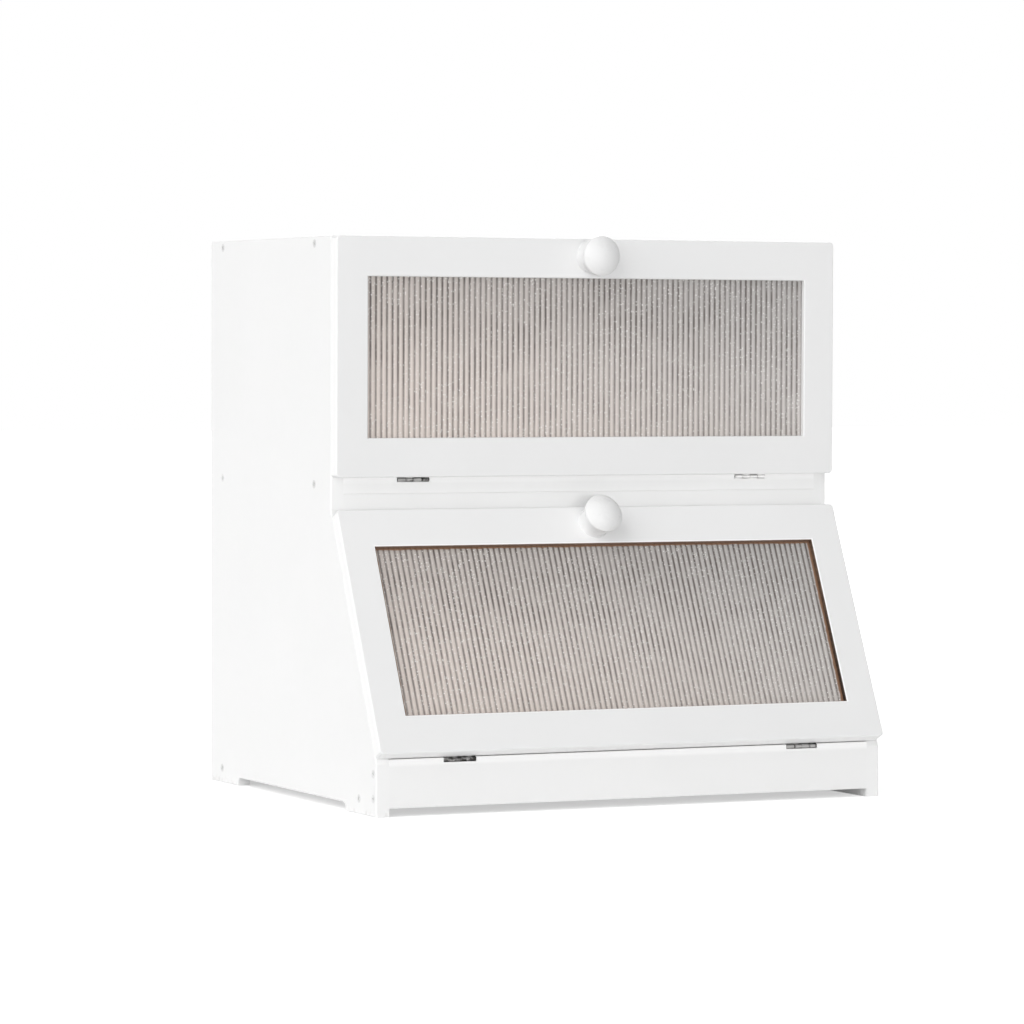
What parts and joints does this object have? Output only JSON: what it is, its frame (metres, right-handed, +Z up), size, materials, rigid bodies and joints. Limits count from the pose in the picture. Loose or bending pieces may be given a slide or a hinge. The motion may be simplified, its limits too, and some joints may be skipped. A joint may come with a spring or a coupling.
{
  "type": "bread box",
  "caption": "Countertop bread box with stacked compartments: an upright door above a sloping door, both dropping forward on bottom hinges, with reeded windows and round knobs.",
  "frame": {"origin": "centre of the bounding box's footprint, on the surface that the feet stand on", "axes": "+X to the viewer's right along the hinge pins, -Y out of the front, +Z up"},
  "size_m": [0.4, 0.3195, 0.4068],
  "materials": {
    "white_paint": "white satin paint on board",
    "door_paint": "white satin paint on board",
    "back_paint": "white paint on thin board",
    "bead_paint": "white satin paint on thin moulding",
    "knob_paint": "white gloss paint on turned wood",
    "reeded_pane": "reeded translucent acrylic, taupe grey",
    "hinge_steel": "black-coated steel",
    "screw_steel": "zinc-plated steel",
    "magnet_nickel": "nickel-plated magnet",
    "dowel_wood": "plain beech"
  },
  "bodies": {
    "cabinet": {"left_side_panel": "white_paint", "right_side_panel": "white_paint", "top_panel": "white_paint", "middle_shelf": "white_paint", "mid_rail": "white_paint", "floor_panel": "white_paint", "plinth_rail": "white_paint", "back_panel": "back_paint", "left_carcass_screws": "screw_steel", "right_carcass_screws": "screw_steel", "back_panel_screws": "screw_steel", "rail_dowels": "dowel_wood", "catch_magnets": "magnet_nickel", "fixed_leaf_screws": "hinge_steel", "upper_left_fixed_leaf": "hinge_steel", "upper_left_hinge_pin": "hinge_steel", "upper_right_fixed_leaf": "hinge_steel", "upper_right_hinge_pin": "hinge_steel", "lower_left_fixed_leaf": "hinge_steel", "lower_left_hinge_pin": "hinge_steel", "lower_right_fixed_leaf": "hinge_steel", "lower_right_hinge_pin": "hinge_steel"},
    "upper_door": {"upper_left_door_leaf": "hinge_steel", "upper_right_door_leaf": "hinge_steel", "upper_door_frame": "door_paint", "upper_window_pane": "reeded_pane", "upper_knob": "knob_paint", "upper_knob_screw": "screw_steel", "upper_leaf_screws": "hinge_steel", "upper_bead_top": "bead_paint", "upper_bead_bottom": "bead_paint", "upper_bead_left": "bead_paint", "upper_bead_right": "bead_paint", "upper_strike_discs": "screw_steel"},
    "lower_door": {"lower_left_door_leaf": "hinge_steel", "lower_right_door_leaf": "hinge_steel", "lower_door_frame": "door_paint", "lower_window_pane": "reeded_pane", "lower_knob": "knob_paint", "lower_knob_screw": "screw_steel", "lower_leaf_screws": "hinge_steel", "lower_bead_top": "bead_paint", "lower_bead_bottom": "bead_paint", "lower_bead_left": "bead_paint", "lower_bead_right": "bead_paint"}
  },
  "joints": [
    {"name": "upper_door_hinge", "type": "hinge", "parent": "cabinet", "child": "upper_door", "pos_m": [0, -0.0699, 0.2321], "axis": [1, 0, 0], "range_deg": [0, 90]},
    {"name": "lower_door_hinge", "type": "hinge", "parent": "cabinet", "child": "lower_door", "pos_m": [0, -0.15103, 0.0388], "axis": [1, 0, 0], "range_deg": [0, 115]}
  ]
}
